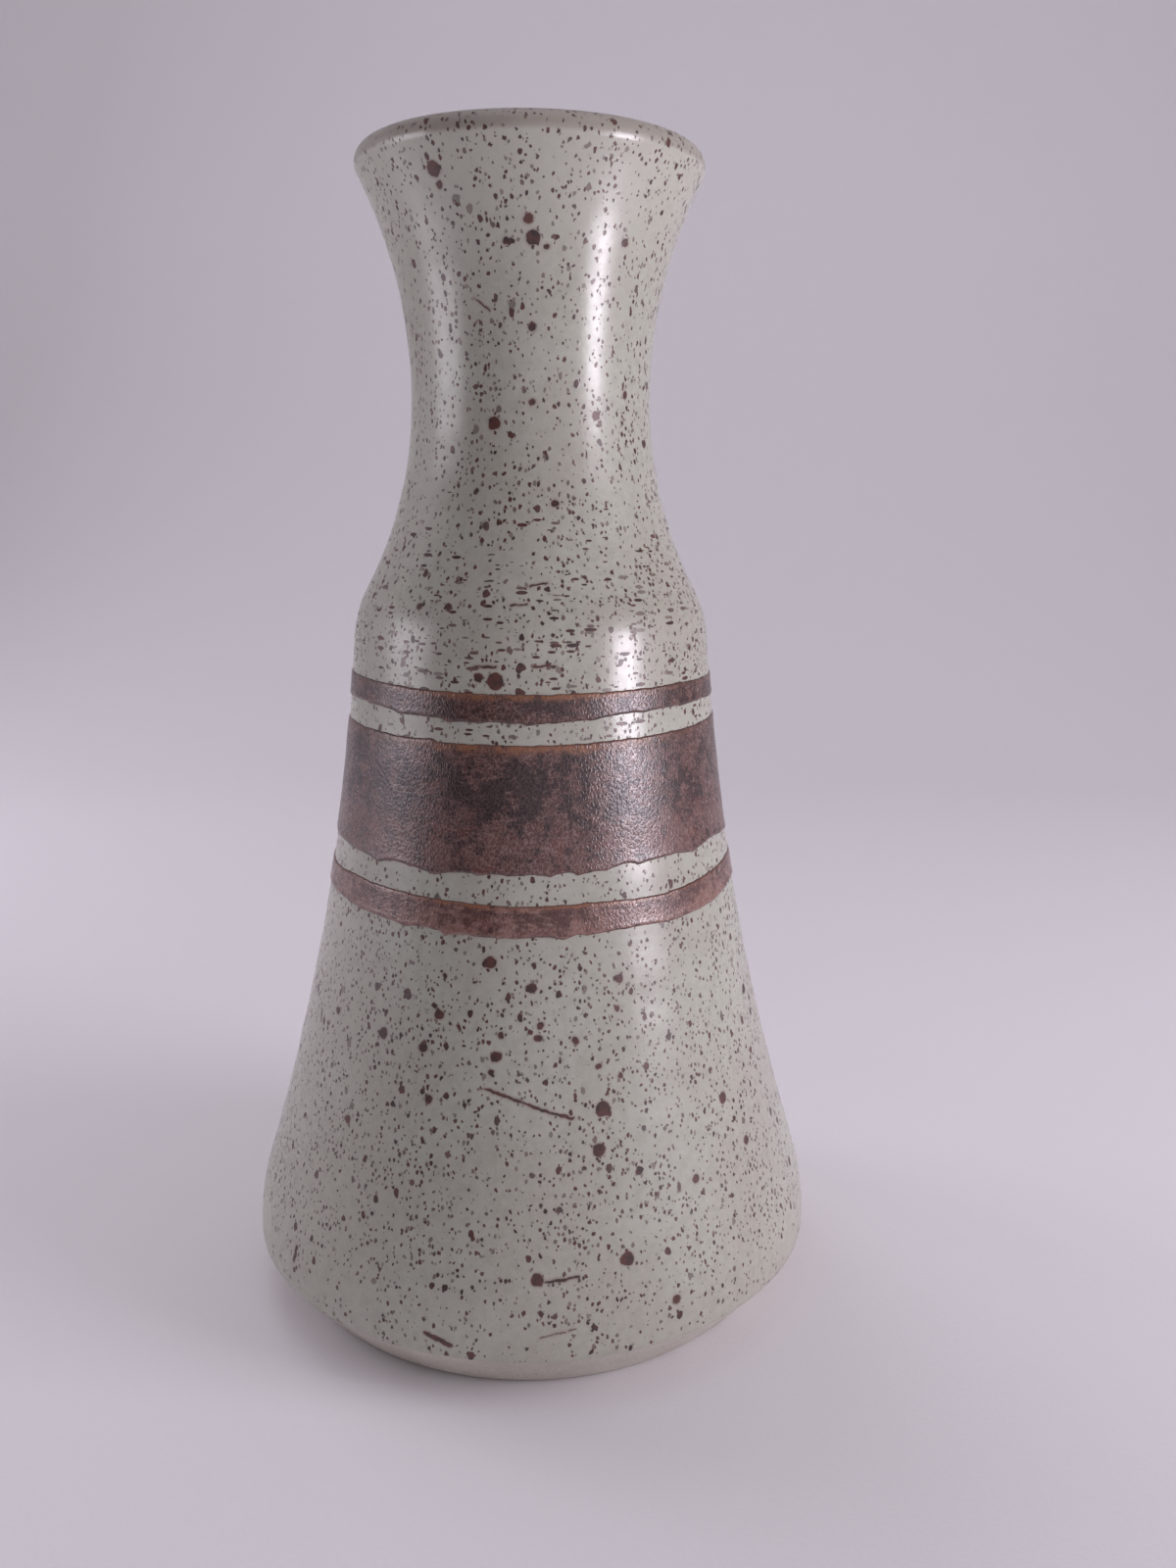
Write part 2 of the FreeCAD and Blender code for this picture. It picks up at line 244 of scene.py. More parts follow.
# %% A socket that can be added and multiplied
class Reading:
    """A number that changes over a surface."""

    def __init__(self, recipe, socket):
        self.recipe, self.socket = recipe, socket

    def math(self, operation, *others):
        """One Math node, with this reading as its first number."""
        return self.recipe.sum_node(operation, self, *others)

    def __add__(self, other):
        return self.math("ADD", other)

    def __radd__(self, other):
        return self.math("ADD", other)

    def __sub__(self, other):
        return self.math("SUBTRACT", other)

    def __rsub__(self, other):
        return self.recipe.sum_node("SUBTRACT", other, self)

    def __mul__(self, other):
        return self.math("MULTIPLY", other)

    def __rmul__(self, other):
        return self.math("MULTIPLY", other)

    def __truediv__(self, other):
        return self.math("DIVIDE", other)

    def __pow__(self, other):
        return self.math("POWER", other)

    def __neg__(self):
        return self.math("MULTIPLY", -1.0)

    def __gt__(self, other):
        return self.math("GREATER_THAN", other)

    def __lt__(self, other):
        return self.math("LESS_THAN", other)

    def at_least(self, other):
        return self.math("MAXIMUM", other)

    def at_most(self, other):
        return self.math("MINIMUM", other)

    def ramp(self, low, high, low_value=0.0, high_value=1.0):
        """Goes smoothly from low_value, where this reads low, to high_value, where it reads high."""
        return self.recipe.add("ShaderNodeMapRange", {"interpolation_type": "SMOOTHSTEP"}, {
            0: self, 1: low, 2: high, 3: low_value, 4: high_value}).reading(0)

    def near(self, middle, reach):
        """1 at the middle value, and smoothly 0 at a reach to either side."""
        return (self - middle).math("ABSOLUTE").ramp(0.0, reach, 1.0, 0.0)


# %% A material as a recipe
class Added:
    """A node that has been added, and its outputs."""

    def __init__(self, recipe, node):
        self.recipe, self.node = recipe, node

    def reading(self, name):
        return Reading(self.recipe, self.node.outputs[name])

    def socket(self, name):
        return self.node.outputs[name]


class Recipe:
    """A material, or the light all round, and the nodes in it."""

    def __init__(self, owner):
        owner.use_nodes = True
        self.owner, self.tree = owner, owner.node_tree
        self.tree.nodes.clear()

    def add(self, kind, settings=None, sockets=None):
        """One node: its settings first, then the value or the link of each socket."""
        node = self.tree.nodes.new(kind)
        for name, value in (settings or {}).items():
            setattr(node, name, value)
        for key, value in (sockets or {}).items():
            if isinstance(value, Reading):
                value = value.socket
            if isinstance(value, bpy.types.NodeSocket):
                self.tree.links.new(value, node.inputs[key])
            else:
                node.inputs[key].default_value = value
        return Added(self, node)

    def sum_node(self, operation, *numbers):
        return self.add("ShaderNodeMath", {"operation": operation}, dict(enumerate(numbers))).reading(0)

    def vector(self, operation, *operands):
        """One Vector Math node."""
        node = self.add("ShaderNodeVectorMath", {"operation": operation}, dict(enumerate(operands)))
        as_number = operation in ("DISTANCE", "DOT_PRODUCT")
        return node.reading("Value") if as_number else node.socket("Vector")

    def scaled(self, vector, factor):
        return self.add("ShaderNodeVectorMath", {"operation": "SCALE"},
                        {0: vector, "Scale": factor}).socket("Vector")

    def blend(self, amount, first, second):
        """Colour first where amount is 0, and colour second where it is 1."""
        return self.add("ShaderNodeMix", {"data_type": "RGBA"}, {0: amount, 6: first, 7: second}).socket(2)

    def split(self, vector):
        node = self.add("ShaderNodeSeparateXYZ", sockets={0: vector})
        return [node.reading(axis) for axis in range(3)]

    def place(self):
        """Where a point of the surface is, in millimetres from the middle of the foot."""
        return self.scaled(self.add("ShaderNodeTexCoord").socket("Object"), 1 / MM)

    def noise(self, place, grain, detail=2.0, roughness=0.5):
        """Cloudy noise from 0 to 1, whose clouds are about grain millimetres across."""
        return self.add("ShaderNodeTexNoise", {"noise_dimensions": "3D"}, {
            "Vector": place, "Scale": 1.0 / grain, "Detail": detail, "Roughness": roughness})

    def cloud(self, place, grain, detail=2.0, roughness=0.5):
        return self.noise(place, grain, detail, roughness).reading("Fac")

    def shaken(self, place, grain, reach):
        """The place, pushed about by up to half of reach, so that outlines become ragged."""
        push = self.vector("SUBTRACT", self.noise(place, grain, 1.0).socket("Color"), (0.5, 0.5, 0.5))
        return self.vector("ADD", place, self.scaled(push, reach))

    def finish(self, colour, roughness, height, **constants):
        """The surface itself. height is the bump in millimetres."""
        bump = self.add("ShaderNodeBump", sockets={"Distance": MM, "Height": height})
        shader = self.add("ShaderNodeBsdfPrincipled", sockets={
            "Base Color": colour, "Roughness": roughness, "Normal": bump.socket("Normal"), **constants})
        self.add("ShaderNodeOutputMaterial", sockets={"Surface": shader.socket("BSDF")})
        print(f"{self.owner.name}: {len(self.tree.nodes)} nodes")
        return self.owner


# %% Colours are given in everyday 0 to 255 values
def shade(red, green, blue):
    """An everyday colour as the renderer wants it."""
    straight = [channel / 255 for channel in (red, green, blue)]
    return tuple(c / 12.92 if c <= 0.04045 else ((c + 0.055) / 1.055) ** 2.4 for c in straight) + (1.0,)


# %% [markdown]
# ## Iron specks
#
# Iron in the clay bleeds through the glaze in specks: very many fine ones, some middling ones, and a few
# blots. Each kind could be painted dot by dot, but a scatter of balls in space, cut by the surface of
# the pot, is simpler. It gives round spots of mixed sizes all over, with no seam and no repeat.

# %% Specks of one kind
def specks(recipe, place, spacing, smallest, largest, share, ragged):
    """How dark a speck is here, from 0 to 1. Sizes are radii in mm, and share is how many of them show."""
    cells = recipe.add("ShaderNodeTexVoronoi", {"voronoi_dimensions": "3D", "feature": "F1"}, {
        "Vector": recipe.shaken(place, largest * 1.5, ragged), "Scale": 1.0 / spacing, "Randomness": 1.0})
    size_luck, share_luck, strength_luck = recipe.split(cells.socket("Color"))
    radius = size_luck ** 2.0 * (largest - smallest) + smallest
    depth = radius - cells.reading("Distance") * spacing
    soft = 0.05 + 0.1 * smallest
    return depth.ramp(-soft, soft) * (share_luck < share) * strength_luck.ramp(0.0, 0.6, 0.6, 1.0)


# %% Large blots that catch the eye, each where the hand of chance put it
BLOTS = [  # degrees from the front, height, width in mm
    (-30, 259.8, 3.4), (-29.3, 256.9, 1.8), (1.8, 250.2, 2.2), (3.5, 246.8, 3.1), (-6.8, 246.2, 1.6),
    (8.8, 245.2, 1.4), (41, 247.2, 2.0), (3, 229.8, 2.0), (-14, 210.2, 2.9), (33, 212, 2.1),
    (3, 214.5, 1.7), (51, 216.8, 1.7), (12, 193.5, 1.9), (-35, 171.5, 1.7), (-8, 156.5, 3.8),
    (-13, 157.2, 2.0), (-8, 96.5, 2.8), (2, 91, 2.4), (-20, 84.2, 2.4), (-35, 77.5, 2.7),
    (23.5, 91.8, 2.2), (-6, 76.5, 2.6), (-23.5, 76.5, 2.2), (17.5, 64.5, 3.6), (-21, 65.8, 2.1),
    (49.5, 59, 2.7), (16, 56, 3.0), (55, 46.8, 2.4), (37.5, 44.8, 2.1), (20, 32.8, 3.3),
    (3, 30.5, 3.0), (29, 21.8, 2.2), (-53, 77.8, 2.1), (-42, 56.2, 2.1), (3.5, 80.5, 1.8),
    (4, 83.2, 1.7), (12, 79.5, 1.8), (22.5, 85.5, 1.6), (-5, 81, 1.5), (17, 73.5, 1.5),
    (22, 71, 1.4), (-7, 73, 1.5),
]


def on_the_wall(angle, height):
    """The place on the outside at an angle in degrees and a height, in mm."""
    return spot(math.radians(angle), float(outer_radius(height)), height).tolist()


def largest_of(readings):
    """The largest of several readings at each point."""
    largest, *others = readings
    for other in others:
        largest = largest.at_least(other)
    return largest


def blots(recipe, place, several):
    """How far inside the nearest blot this point is, in mm. It is below 0 outside them all."""
    return largest_of(width / 2 - recipe.vector("DISTANCE", place, on_the_wall(angle, height))
                      for angle, height, width in several)


print(len(BLOTS), "blots")

# %% Scratches that took up iron: from one point of the wall to another
SCRATCHES = [  # width in mm, then degrees from the front and height at each point
    (0.5, (-22, 235.5), (-18.5, 234.5), (-15, 233.2)),
    (0.8, (-8, 69.5), (-2, 67.6), (4, 65.3), (10.8, 63.2)),
    (1.3, (-17, 17.4), (-12.5, 15.6)), (1.2, (-50, 23.5), (-50.5, 19.8)), (0.7, (4.5, 30.0), (10.5, 30.6)),
    (0.4, (3.5, 18.4), (9.5, 19.9)), (0.6, (2, 176.3), (8, 177.0)), (0.6, (-4, 172.4), (1, 172.6)),
    (0.7, (-14, 159.4), (-8, 159.6)), (0.7, (3, 159.8), (9, 159.7)), (0.8, (24, 138.6), (30, 138.8)),
]


def scratch(recipe, place, width, point_a, point_b):
    """How far inside one straight scratch this point is, in mm."""
    start, end = Vector(on_the_wall(*point_a)), Vector(on_the_wall(*point_b))
    along = end - start
    share = recipe.vector("DOT_PRODUCT", recipe.vector("SUBTRACT", place, start), along)
    share = (share / along.length_squared).at_least(0.0).at_most(1.0)
    foot = recipe.vector("ADD", recipe.scaled(tuple(along), share), start)
    return width / 2 - recipe.vector("DISTANCE", place, foot)


def scratches(recipe, place, several):
    """How far inside the nearest scratch this point is, in mm."""
    return largest_of(scratch(recipe, place, width, *ends)
                      for width, *points in several for ends in zip(points, points[1:]))


print(len(SCRATCHES), "scratches")

# %% [markdown]
# ## The pale speckled glaze
#
# The glaze is a satin grey-green that breaks warm and cool in slow clouds, with a fine mottle. It is paler
# between the bands. The flare is painted paler too, a painted light that stands for the light thrown up
# from the floor onto its downward face. It runs thin over the lip, where the clay darkens it, and painted
# shade darkens the top of the lip further. It could be painted as a picture and wrapped round the pot, but
# noise in space has no seam and fits any shape.

# %% The glaze before any iron
def glaze_ground(recipe, place, z):
    """The colour of the glaze, its mottle and its grain, with painted light on the flare and painted shade
    on top of the lip.
    """
    clouds = recipe.cloud(place, 30.0, 3.0)
    mottle = recipe.cloud(place, 2.4, 3.0, 0.6)
    grain = recipe.cloud(place, 0.6, 2.0)
    colour = recipe.blend(clouds.ramp(0.35, 0.65), shade(187, 188, 173), shade(180, 178, 164))
    colour = recipe.blend(mottle.ramp(0.35, 0.75, 0.0, 0.4), colour, shade(160, 155, 142))
    colour = recipe.blend(grain.ramp(0.45, 0.8, 0.0, 0.3), colour, shade(205, 204, 192))
    # Paler between the bands, and painted light on the flare, which faces down towards the bright floor.
    paler_gap_and_painted_flare_light = z.ramp(232.0, 260.0).at_least(z.near(130.0, 24.0))
    colour = recipe.blend(paler_gap_and_painted_flare_light * 0.45, colour, shade(204, 203, 190))
    # The top of the lip darker: thin glaze over the clay, and painted shade where the lip faces the dim
    # space overhead.
    colour = recipe.blend(z.ramp(265.2, 266.4, 0.0, 0.55), colour, shade(146, 134, 122))
    return colour, mottle, grain


# %% [markdown]
# ## The iron in the glaze
#
# Four kinds of speck lie over each other. The glaze ran a little as it melted, so the smaller specks
# are somewhat taller than they are wide. At the shoulder the pot turned under the glazing brush, and
# there specks are drawn out sideways into short strokes. Each could be stretched by itself. A stretched
# copy of the place does all of a kind at once.

# %% Specks of four kinds
def iron_in_glaze(recipe, place, z):
    """How much iron shows here, from 0 to 1. Each kind has its spacing, radii, share and raggedness."""
    crowd = recipe.cloud(place, 13.0, 2.0).ramp(0.35, 0.65, 0.55, 1.0)
    crowd = crowd * z.ramp(14.0, 34.0, 0.55, 1.0)
    below_bands = z.near(84.0, 24.0)
    tall = recipe.vector("MULTIPLY", place, (1.0, 1.0, 0.75))
    flat = recipe.vector("MULTIPLY", place, (1.0, 1.0, 3.2))
    return largest_of([
        specks(recipe, tall, 1.05, 0.22, 0.46, crowd, 0.7),
        specks(recipe, tall, 2.7, 0.36, 0.8, crowd * 0.75 + below_bands * 0.35, 1.2),
        specks(recipe, place, 6.5, 0.5, 1.25, crowd * 0.5 + below_bands * 0.4, 1.6),
        specks(recipe, flat, 3.6, 0.4, 1.6, z.near(166.0, 34.0) * 0.9, 0.5),
    ])


# %% Mix the pale glaze
def speckled_glaze(name, marks=True):
    """marks adds the large blots and the scratches, which only the outside has."""
    recipe = Recipe(bpy.data.materials.new(name))
    place = recipe.place()
    z = recipe.split(place)[2]
    colour, mottle, grain = glaze_ground(recipe, place, z)
    iron = iron_in_glaze(recipe, place, z)
    if marks:
        ragged = recipe.shaken(place, 1.6, 0.9)
        inside_mark = blots(recipe, ragged, BLOTS).at_least(scratches(recipe, ragged, SCRATCHES))
        iron = iron.at_least(inside_mark.ramp(-0.12, 0.2))
        halo = inside_mark.ramp(-0.7, 0.1)
        colour = recipe.blend(halo * 0.3, colour, shade(150, 118, 108))
    rust = recipe.blend(mottle.ramp(0.35, 0.7), shade(96, 58, 50), shade(54, 38, 36))
    colour = recipe.blend(iron, colour, rust)
    orange_peel = recipe.cloud(place, 3.5, 2.0)
    height = orange_peel * 0.05 + iron * 0.02 + grain * 0.006
    roughness = mottle.ramp(0.2, 0.8, 0.2, 0.27) + iron * 0.12
    return recipe.finish(colour, roughness, height, IOR=1.58)


PALE = speckled_glaze("speckled_glaze_outside")

# %% [markdown]
# ## The coat of glaze outside
#
# A coat of glaze is a skin about half a millimetre thick. A Solidify modifier could thicken its face,
# but then the back would only roughly meet the clay. It is built as a closed skin instead, from the same
# arcs as the clay: a small round edge at the base, where the glaze was wiped off the bevel, the face
# that shows, and the face against the clay.

# %% Build the outside glaze
TOUCH = heading(LIP, FLARE)
EDGE_ROUND = 0.3
OUTSIDE_POINTS = 360


def lip_arc(coat, step):
    """The lip from its outer side up to its crown, at a depth of coat below its surface."""
    return arc(LIP, HALF_WALL - coat, TOUCH, CROWN, step)


def glaze_outside():
    """The radius and the height of each point of the coat."""
    edge = np.array([BASE_RADIUS - EDGE_ROUND, BASE_HEIGHT + EDGE_ROUND])
    lower_edge = arc(edge, EDGE_ROUND, -0.75 * math.pi, 0, 0.1)
    shows = np.vstack([outside_line(1.3), lip_arc(0.0, 0.35), [[LIP[0], TOTAL_HEIGHT]]])
    shows = shows[shows[:, 1] > BASE_HEIGHT + EDGE_ROUND]
    hidden = np.vstack([outside_line(9.0, GLAZE_COAT), lip_arc(GLAZE_COAT, 0.8),
                        [[LIP[0], TOTAL_HEIGHT - GLAZE_COAT]]])[::-1]
    line = np.vstack([lower_edge, shows, hidden])
    height = np.repeat(line[:, 1:], OUTSIDE_POINTS, axis=1)
    return line[:, :1] + wander(around(OUTSIDE_POINTS), height), height


belongs(turned("glaze_outside", *glaze_outside(), PALE), "outer_glaze")

# %% [markdown]
# ## The glaze inside
#
# The inside was glazed by pouring glaze in and turning the pot out, so it covers the wall and the floor.
# Nobody smooths the inside, so the finger ridges are deeper there. They could be bump in the material,
# but the mesh has them, so that they are in the shape itself too. The skin starts at the crown of the
# lip, follows the wall at its full thickness, rounds into the floor and closes on the axis.

# %% Build the inside glaze
FLOOR_HEIGHT = cad_range("liner_glaze")[1]
FLOOR_ROUND = 10.0
FINGER_RIDGES = [(1, 7.1, 0.16, 0.0), (1, 11.3, 0.08, 1.7), (2, 3.3, 0.10, 3.0)]
FADE = 12.0
INSIDE_POINTS = 288


def inside_line(step, inset, coat):
    """From the crown of the lip down the inside of the wall, to the edge of the level floor."""
    reach, level = BELL_ROUND + inset + FLOOR_ROUND - coat, FLOOR_HEIGHT + FLOOR_ROUND
    corner = np.array([BELL[0] - math.sqrt(reach ** 2 - (BELL[1] - level) ** 2), level])
    lip = arc(LIP, inset - HALF_WALL, CROWN, heading(FLARE, LIP), step / 3)
    wall = wall_line(step, inset)[::-1]
    wall = wall[wall[:, 1] > corner[1] + (FLOOR_ROUND - coat) * math.sin(heading(corner, BELL))]
    round_in = arc(corner, FLOOR_ROUND - coat, heading(corner, BELL), -CROWN, step / 2)
    floor = [[radius, level - FLOOR_ROUND + coat] for radius in np.arange(corner[0], 1.0, -step)]
    return np.vstack([lip, wall, round_in, floor])


def glaze_inside():
    """The radius and height of each point. The ridges fade at the lip and in the middle of the floor."""
    shows = inside_line(1.6, WALL, GLAZE_COAT)
    hidden = inside_line(8.0, WALL - GLAZE_COAT, 0.0)
    line = np.vstack([hidden[::-1], shows])
    radius, height = line[:, :1], np.repeat(line[:, 1:], INSIDE_POINTS, axis=1)
    angles = around(INSIDE_POINTS)
    ridged = np.clip((LIP[1] - 2 - height) / FADE, 0, 1) * np.clip((radius - 4) / FADE, 0, 1)
    ridges = waves(angles, height, FINGER_RIDGES)
    return radius + wander(angles, height) * (1 - ridged) + ridges * ridged, height


LINER = speckled_glaze("speckled_glaze_inside", marks=False)
belongs(turned("glaze_inside", *glaze_inside(), LINER, poles=(FLOOR_HEIGHT, FLOOR_HEIGHT + GLAZE_COAT)),
        "liner_glaze")

# %% [markdown]
# ## The clay and its turned foot
#
# Under the glaze is one piece of fired clay. Only its foot stays bare: a bevel under the crisp edge, the
# ring that the vase stands on, and a shallow hollow. A turning tool cut them while the pot was upside
# down on the wheel, and it left fine grooves. They could be bump in the material, but as real ridges of
# the mesh they also show from the side and in the shape itself.

# %% Mix the bare clay
def bare_clay(name):
    recipe = Recipe(bpy.data.materials.new(name))
    place = recipe.place()
    clouds = recipe.cloud(place, 14.0, 3.0)
    grit = recipe.cloud(place, 0.5, 2.0)
    colour = recipe.blend(clouds.ramp(0.3, 0.7), shade(206, 200, 190), shade(192, 184, 174))
    colour = recipe.blend(grit.ramp(0.4, 0.8, 0.0, 0.35), colour, shade(140, 130, 118))
    iron = specks(recipe, place, 4.0, 0.2, 0.5, 0.5, 0.4)
    colour = recipe.blend(iron * 0.6, colour, shade(110, 84, 70))
    return recipe.finish(colour, grit.ramp(0.2, 0.8, 0.62, 0.8), grit * 0.05 + clouds * 0.03)


# %% The foot, from its middle out to the crisp edge
FOOT_RADIUS, FOOT_RING, FOOT_SLOPE, FOOT_CORNER = 60.5, 9.0, 2.0, 0.7
HOLLOW_DEPTH = 3.5


def foot_parts():
    """The hollow under the pot, the standing ring and the bevel, each as points."""
    ring_inside = FOOT_RADIUS - FOOT_RING
    hollow_edge = ring_inside - FOOT_SLOPE
    hollow = np.array([[radius, HOLLOW_DEPTH] for radius in np.linspace(2.0, hollow_edge - 1.2, 44)])
    slope = [[hollow_edge - 0.5, HOLLOW_DEPTH], [ring_inside - FOOT_SLOPE * 0.8, HOLLOW_DEPTH - 0.6],
             [ring_inside, FOOT_CORNER * 0.6]]
    flat_from, flat_to = ring_inside + FOOT_CORNER, FOOT_RADIUS - FOOT_CORNER
    ring = [[radius, 0.0] for radius in np.linspace(flat_from, flat_to, 14)]
    corner = [[FOOT_RADIUS - FOOT_CORNER * 0.25, FOOT_CORNER * 0.25]]
    bevel_from, bevel_to = np.array([FOOT_RADIUS, 0.0]), np.array([BASE_RADIUS - GLAZE_COAT, BASE_HEIGHT])
    bevel = bevel_from + (bevel_to - bevel_from) * np.linspace(0, 1, 26)[:, None]
    return hollow, np.vstack([slope, ring, corner, bevel[bevel[:, 1] > FOOT_CORNER]])


# %% Build the clay
def clay():
    """The radius and the height of each point, with the grooves that the turning tool left."""
    hollow, rest_of_foot = foot_parts()
    outside = np.vstack([outside_line(6.0, GLAZE_COAT)[1:], lip_arc(GLAZE_COAT, 0.8)])
    line = np.vstack([hollow, rest_of_foot, outside, inside_line(8.0, WALL - GLAZE_COAT, 0.0)])
    height = np.repeat(line[:, 1:], INSIDE_POINTS, axis=1)
    under_grooves = 0.12 * np.sin(np.arange(len(hollow)) * 2.3)
    height[:len(hollow)] += under_grooves[:, None]
    tooled = (line[:, 1] > FOOT_CORNER) & (line[:, 1] < BASE_HEIGHT - 1)
    side_grooves = np.where(tooled, 0.06 * np.sin(line[:, 1] * 5.2), 0)
    return line[:, :1] + side_grooves[:, None] + np.zeros(INSIDE_POINTS), height


CLAY = bare_clay("bare_stoneware")
belongs(turned("clay_and_foot", *clay(), CLAY, poles=(HOLLOW_DEPTH, FLOOR_HEIGHT)),
        "clay_body")

# %% [markdown]
# ## The brushed bands
#
# The potter held a loaded brush against the turning pot. The top edge of each stroke is crisp and nearly
# level. Along the bottom edge the pale glaze crept back in round lobes, and the brown hangs down between
# them in small cusps. The bands could be colour in the pale glaze, but real ones stand proud and their
# edges catch the light. So each band is its own closed skin, with rounded edges and a faint bead where
# the brown gathered along the bottom.

# %% The edges of a stroke
def stroke_edge(angles, front, seed, bulge):
    """The height of an edge all round. front lists its turning points, in degrees and mm, across the front.

    Round the back it goes on at a like level, with its turning points left to luck. Between two of them the
    edge bulges up by as much as bulge.
    """
    luck = np.random.default_rng(seed)
    level = sum(height for _, height in front) / len(front)
    ends, heights = [point[0] for point in front], [point[1] for point in front]
    while ends[-1] < front[0][0] + 340:
        ends.append(ends[-1] + luck.uniform(7, 18))
        heights.append(level + luck.uniform(-0.5, 0.6))
    ends.append(front[0][0] + 360)
    heights.append(front[0][1])
    ends, heights = np.array(ends), np.array(heights)
    degrees = (np.degrees(angles) - ends[0]) % 360 + ends[0]
    which = np.clip(np.searchsorted(ends, degrees, side="right") - 1, 0, len(ends) - 2)
    along = (degrees - ends[which]) / (ends[which + 1] - ends[which])
    rise = luck.uniform(0.25, 1.0, len(ends))[which] * bulge
    lobe = rise * np.sin(np.pi * along ** 1.2) ** 0.7
    straight = heights[which] + (heights[which + 1] - heights[which]) * along
    bristles = [(19, 0, 0.04, seed), (43, 0, 0.04, seed * 2),
                (67, 0, 0.03, seed * 3), (101, 0, 0.025, seed * 5)]
    return straight + lobe + waves(angles, 0, bristles)


# %% Lay a band on the glaze
BRUSHED = 0.3
EDGE_REACH = 0.6
SUNK = 0.06


def brushed_band(name, node, top, bottom, rows, material):
    """A stroke between two edges, given as heights at each angle."""
    angles = around(len(top))
    share = (1 - np.cos(np.linspace(0, math.pi, rows)))[:, None] / 2
    height = bottom + (top - bottom) * share
    from_edge = np.minimum(height - bottom, top - height)
    rounding = np.sqrt(1 - (1 - np.clip(from_edge / EDGE_REACH, 0, 1)) ** 2)
    bead = 0.08 * np.exp(-((height - bottom - 0.7) / 0.4) ** 2)
    on_glaze = outer_radius(height) + wander(angles, height)
    shows = on_glaze - SUNK + (BRUSHED + SUNK) * rounding + bead
    hidden = (on_glaze - 2 * SUNK)[::-4]
    band = turned(name, np.vstack([shows, hidden]), np.vstack([height, height[::-4]]), material)
    for label, values in (("below_top", top - height), ("above_bottom", height - bottom)):
        layer = band.data.attributes.new(label, "FLOAT", "POINT")
        layer.data.foreach_set("value", np.concatenate([values.ravel(), np.ones(hidden.size)]))
    belongs(band, node)


# %% [markdown]
# ## The brown glaze
#
# The brown is iron glaze over the pale one. Where it is thick it goes almost black, and where it breaks
# over an edge it turns orange. Its skin is finely pebbled, with pale lines between the pebbles. These are
# painted pale, partly as the glaze's own lines and partly as a painted sparkle of a lamp's reflection, and
# they are glossier, so a real reflection sparkles on them too. Bristles leave streaks, and where a second
# coat lies over the first the colour is deeper. Each band could be one flat brown, but from close by it
# would look printed. Its mesh carries two measures, how far a point is below the top edge and above the
# bottom one, because the colour follows those edges, and they are not level.

# %% The pebbled skin
PEBBLE = 0.8


def pebbled_skin(recipe, place):
    """How far each point lies from the edge of its pebble, in mm."""
    ragged = recipe.shaken(recipe.vector("MULTIPLY", place, (1.0, 1.0, 0.7)), 0.8, 0.6)
    cells = recipe.add("ShaderNodeTexVoronoi", {"voronoi_dimensions": "3D", "feature": "DISTANCE_TO_EDGE"},
                       {"Vector": ragged, "Scale": 1 / PEBBLE})
    return cells.reading("Distance") * PEBBLE


def measure(recipe, label):
    """One of the two measures that the mesh of a band carries."""
    return recipe.add("ShaderNodeAttribute", {"attribute_name": label}).reading("Fac")


# %% The orange and the dark lines along the edges of a band
def edged(recipe, colour, below, above, bristles, patches, across, tan_reach, second_line):
    """The colour with its edges drawn. across is 1 on the front of the pot, where the orange is strong."""
    tan = (below + (bristles - 0.5) * 2.2).ramp(tan_reach * 0.4, tan_reach * 1.4, 1.0, 0.0)
    tan = tan * across.ramp(0.0, 0.9, 0.2, 0.9) * patches.ramp(0.38, 0.56, 0.25, 1.0)
    colour = recipe.blend(tan, colour, shade(150, 100, 70))
    line = below.near(0.12, 0.2).at_least(above.near(0.3, 0.22) * patches.ramp(0.4, 0.6, 0.2, 1.0))
    if second_line:
        line = line.at_least((below + (bristles - 0.5) * 0.6).near(1.7, 0.25) * 0.7)
    return recipe.blend(line * 0.75, colour, shade(58, 34, 30))


